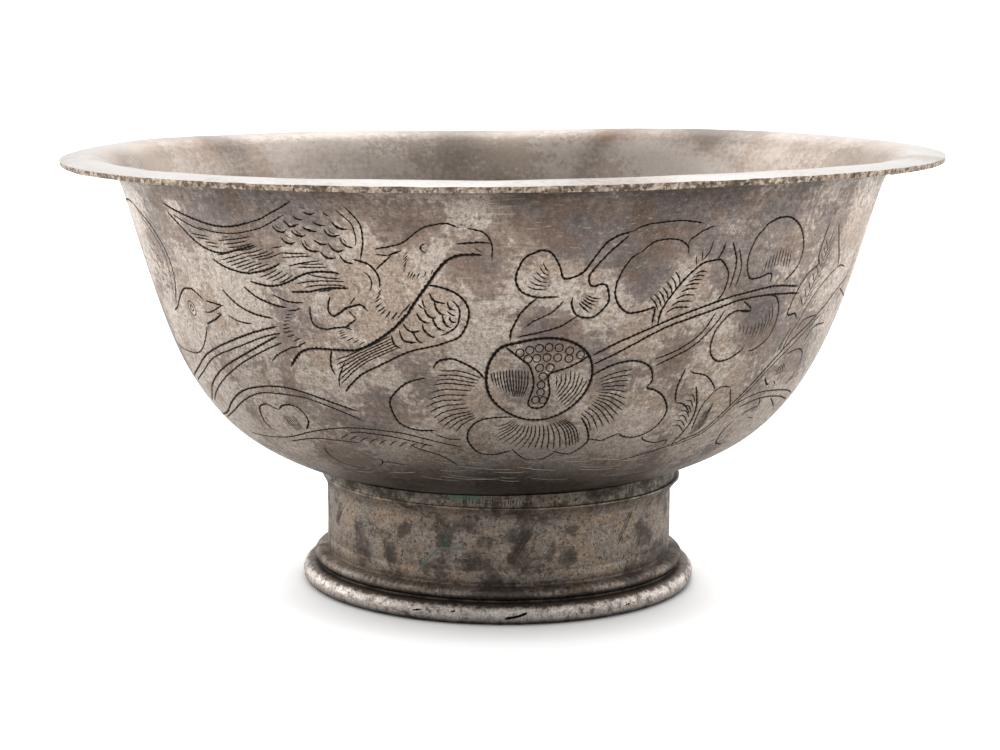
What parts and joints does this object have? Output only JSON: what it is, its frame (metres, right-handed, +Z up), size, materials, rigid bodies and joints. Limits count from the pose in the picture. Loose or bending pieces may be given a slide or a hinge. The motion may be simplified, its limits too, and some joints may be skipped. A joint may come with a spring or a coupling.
{
  "type": "footed bowl",
  "caption": "Raised silver bowl with an everted lip and an engraved wall, soldered on a tall moulded foot ring.",
  "frame": {"origin": "centre of the flat face that the base ring rests on", "axes": "+Z up along the bowl's turning axis, -Y towards the engraved front that the picture shows, +X to its right"},
  "size_m": [0.16, 0.16, 0.08],
  "materials": {
    "tarnished_silver": "hammered and polished silver under a warm grey tarnish",
    "dark_silver": "silver under heavy brown-black tarnish",
    "rubbed_silver": "worn, pitted silver, rubbed bright on the outside",
    "silver_solder": "dull silver solder with traces of green corrosion"
  },
  "bodies": {
    "root": {"bowl_body": "tarnished_silver", "bowl_solder_seam": "silver_solder", "foot_collar": "tarnished_silver", "bead_wire": "dark_silver", "bead_solder_seam": "silver_solder", "base_solder_seam": "silver_solder", "base_ring": "rubbed_silver"}
  },
  "joints": []
}
